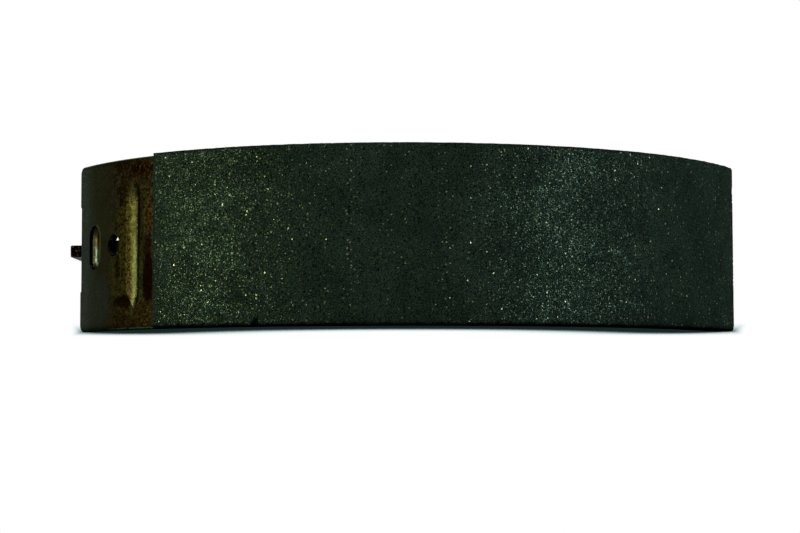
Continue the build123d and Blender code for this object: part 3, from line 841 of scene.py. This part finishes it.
class ShoeStageSettings(bpy.types.PropertyGroup):
    camera_place: bpy.props.FloatVectorProperty(name="Camera", description="Where the camera stands",
                                                default=(0.0, -0.56484, -0.04583), subtype="TRANSLATION")
    lens: number_property("Lens", "Focal length in millimetres", 85.265)
    turn: angle_property("Turn", "Camera turned to the right", 0.075)
    tilt: angle_property("Tilt", "Camera tilted up", 3.629)
    roll: angle_property("Roll", "Camera rolled", -0.111)
    lamp_power: number_property("Lamp power", "Power of the left lamp, which the others follow", 9.9)
    floor_colour: colour_property("Floor", "Colour of the floor", (0.9, 0.9, 0.9))
    floor_lift: number_property("Floor lift", "How much whiter the floor looks", 0.25)
    shade_reach: length_property("Shade reach", "Reach of the contact shade", 65 * MM)
    shade_colour: colour_property("Contact shade", "Darkest contact shade", (0.010, 0.020, 0.021))
    far_shade_colour: colour_property("Far shade", "Lightest contact shade", (0.30, 0.62, 0.62))


# --- Operators ---

class SHOE_OT_lining(bpy.types.Operator):
    """Makes the moulded friction lining"""
    bl_idname = "brake_shoe.lining"
    bl_label = "Friction lining"

    def execute(self, context):
        settings = context.scene.shoe_lining
        piece = applied("lining_block", lining_tree(lining_material(settings)), settings)
        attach(piece, "root")
        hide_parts("friction_lining")
        return {"FINISHED"}


class SHOE_OT_steel(bpy.types.Operator):
    """Coats the table and the web"""
    bl_idname = "brake_shoe.steel"
    bl_label = "Table and web"

    def execute(self, context):
        settings = context.scene.shoe_steel
        for node_name, material in (("shoe_table", table_material(settings)),
                                    ("shoe_web", web_material(settings))):
            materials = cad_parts[node_name].data.materials
            materials.clear()
            materials.append(material)
        return {"FINISHED"}


class SHOE_OT_welds(bpy.types.Operator):
    """Lays the rippled weld beads"""
    bl_idname = "brake_shoe.welds"
    bl_label = "Weld beads"

    def execute(self, context):
        material = weld_material(context.scene.shoe_steel)
        piece = applied("weld_row", weld_tree(material), context.scene.shoe_welds)
        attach(piece, "root")
        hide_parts("weld_beads")
        return {"FINISHED"}


def camera_turned(settings):
    """The camera's turn from its turn, tilt and roll."""
    ahead = Vector((math.sin(settings.turn) * math.cos(settings.tilt),
                    math.cos(settings.turn) * math.cos(settings.tilt), math.sin(settings.tilt)))
    right = Vector((math.cos(settings.turn), -math.sin(settings.turn), 0.0))
    up = right.cross(ahead)
    side = math.cos(settings.roll) * right + math.sin(settings.roll) * up
    top = -math.sin(settings.roll) * right + math.cos(settings.roll) * up
    return Matrix((side, top, -ahead)).transposed().to_4x4()


def placed(name, data):
    """A new object in the scene."""
    thing = bpy.data.objects.new(name, data)
    bpy.context.scene.collection.objects.link(thing)
    return thing


def soft_lamp(name, place, size, power, colour):
    """A rectangular soft lamp that looks at the shoe."""
    data = bpy.data.lights.new(name, "AREA")
    data.shape = "RECTANGLE"
    data.size, data.size_y = size
    data.energy = power
    data.color = colour
    lamp = placed(name, data)
    lamp.rotation_mode = "QUATERNION"
    lamp.location = place
    lamp.rotation_quaternion = (Vector(LAMP_TARGET) - Vector(place)).to_track_quat("-Z", "Y")


def floor_material(settings):
    """A pale floor that fades out far away; its underside shows only the shoe's soft contact shade."""
    material, tree, surface, place = new_material("pale_floor")
    feed(tree, surface, {"Base Color": settings.floor_colour, "Roughness": 0.9, "Specular IOR Level": 0.0})
    seen = put(tree, "ShaderNodeLightPath").outputs["Is Camera Ray"]
    lift = put(tree, "ShaderNodeEmission", {"Strength": times(tree, seen, settings.floor_lift)})
    lifted = put(tree, "ShaderNodeAddShader", {0: surface.outputs[0], 1: lift.outputs[0]})
    clear = put(tree, "ShaderNodeBsdfTransparent")
    reach = put(tree, "ShaderNodeVectorMath", {0: place}, operation="LENGTH").outputs["Value"]
    far = times(tree, ramp(tree, reach, *FLOOR_FADE), seen)
    top = put(tree, "ShaderNodeMixShader", {0: far, 1: lifted.outputs[0], 2: clear.outputs[0]})
    near = put(tree, "ShaderNodeAmbientOcclusion", {"Distance": settings.shade_reach},
               inside=True, samples=SHADE_SAMPLES)
    axes = axes_of(tree, place)
    off_middle = calc(tree, "ABSOLUTE", minus(tree, axes["X"], SHADE_MIDDLE))
    leant = times(tree, minus(tree, SHADE_DEPTH, axes["Y"]), SHADE_LEAN)
    beside = ramp(tree, plus(tree, off_middle, leant), *SHADE_ENDS)
    open_sky = calc(tree, "MAXIMUM", ramp(tree, near.outputs["AO"], 0.47, 0.97), beside)
    veil = blend(tree, open_sky, settings.shade_colour, settings.far_shade_colour)
    veil = blend(tree, open_sky, veil, WHITE)
    below = put(tree, "ShaderNodeBsdfTransparent", {"Color": veil})
    underside = put(tree, "ShaderNodeNewGeometry").outputs["Backfacing"]
    mix = put(tree, "ShaderNodeMixShader", {0: underside, 1: top.outputs[0], 2: below.outputs[0]})
    tree.links.new(mix.outputs[0], tree.nodes["Material Output"].inputs["Surface"])
    return material


def light_world():
    """A dim sky for the shoe, which the camera, metal and glass see as plain white."""
    world = bpy.data.worlds.new("studio_world")
    world.use_nodes = True
    bpy.context.scene.world = world
    tree = world.node_tree
    sky = tree.nodes["Background"]
    feed(tree, sky, {"Color": SKY_COLOUR, "Strength": SKY_STRENGTH})
    white = put(tree, "ShaderNodeBackground", {"Color": WHITE, "Strength": 1.0})
    rays = put(tree, "ShaderNodeLightPath").outputs
    mirrored = calc(tree, "MAXIMUM", rays["Is Glossy Ray"], rays["Is Transmission Ray"])
    seen = calc(tree, "MAXIMUM", rays["Is Camera Ray"], mirrored)
    mix = put(tree, "ShaderNodeMixShader", {0: seen, 1: sky.outputs[0], 2: white.outputs[0]})
    tree.links.new(mix.outputs[0], tree.nodes["World Output"].inputs["Surface"])


class SHOE_OT_stage(bpy.types.Operator):
    """Sets the floor, the lamps, the world and the camera"""
    bl_idname = "brake_shoe.stage"
    bl_label = "Studio"

    def execute(self, context):
        settings = context.scene.shoe_stage
        low = CAD_BOX[0][2]
        mesh = bpy.data.meshes.new("studio_floor")
        corners = [(x * FLOOR_HALF, y * FLOOR_HALF, low) for x, y in ((-1, -1), (1, -1), (1, 1), (-1, 1))]
        mesh.from_pydata(corners, [], [(0, 1, 2, 3)])
        mesh.materials.append(floor_material(settings))
        floor = placed("studio_floor", mesh)
        for name, place, size, share, colour in LAMPS:
            soft_lamp(name, place, size, settings.lamp_power * share, colour)
        light_world()
        data = bpy.data.cameras.new("studio_camera")
        data.sensor_width = SENSOR_WIDTH
        data.lens = settings.lens
        data.clip_start, data.clip_end = 0.01, 100.0
        camera = placed("studio_camera", data)
        camera.matrix_world = Matrix.Translation(Vector(settings.camera_place)) @ camera_turned(settings)
        context.scene.camera = camera
        context.scene.view_settings.view_transform = "Standard"
        return {"FINISHED"}


class SHOE_PT_panel(bpy.types.Panel):
    """Lists the steps that dress the shoe"""
    bl_idname = "SHOE_PT_panel"
    bl_label = "Brake shoe"
    bl_space_type = "VIEW_3D"
    bl_region_type = "UI"
    bl_category = "Brake shoe"

    def draw(self, context):
        for operator in OPERATORS:
            self.layout.operator(operator.bl_idname)
        for group in (getattr(context.scene, name) for name in SETTINGS):
            for name in group.bl_rna.properties.keys():
                if name not in ("rna_type", "name"):
                    self.layout.prop(group, name)


OPERATORS = (SHOE_OT_lining, SHOE_OT_steel, SHOE_OT_welds, SHOE_OT_stage)
SETTINGS = {"shoe_lining": ShoeLiningSettings, "shoe_steel": ShoeSteelSettings,
            "shoe_welds": ShoeWeldSettings, "shoe_stage": ShoeStageSettings}


def register():
    for kind in (*SETTINGS.values(), *OPERATORS, SHOE_PT_panel):
        bpy.utils.register_class(kind)
    for name, kind in SETTINGS.items():
        setattr(bpy.types.Scene, name, bpy.props.PointerProperty(type=kind))


def unregister():
    for name in SETTINGS:
        delattr(bpy.types.Scene, name)
    for kind in (SHOE_PT_panel, *reversed(OPERATORS), *reversed(tuple(SETTINGS.values()))):
        bpy.utils.unregister_class(kind)


def main():
    register()
    bpy.ops.brake_shoe.lining()
    bpy.ops.brake_shoe.steel()
    bpy.ops.brake_shoe.welds()
    bpy.ops.brake_shoe.stage()


if __name__ == "__main__":
    main()
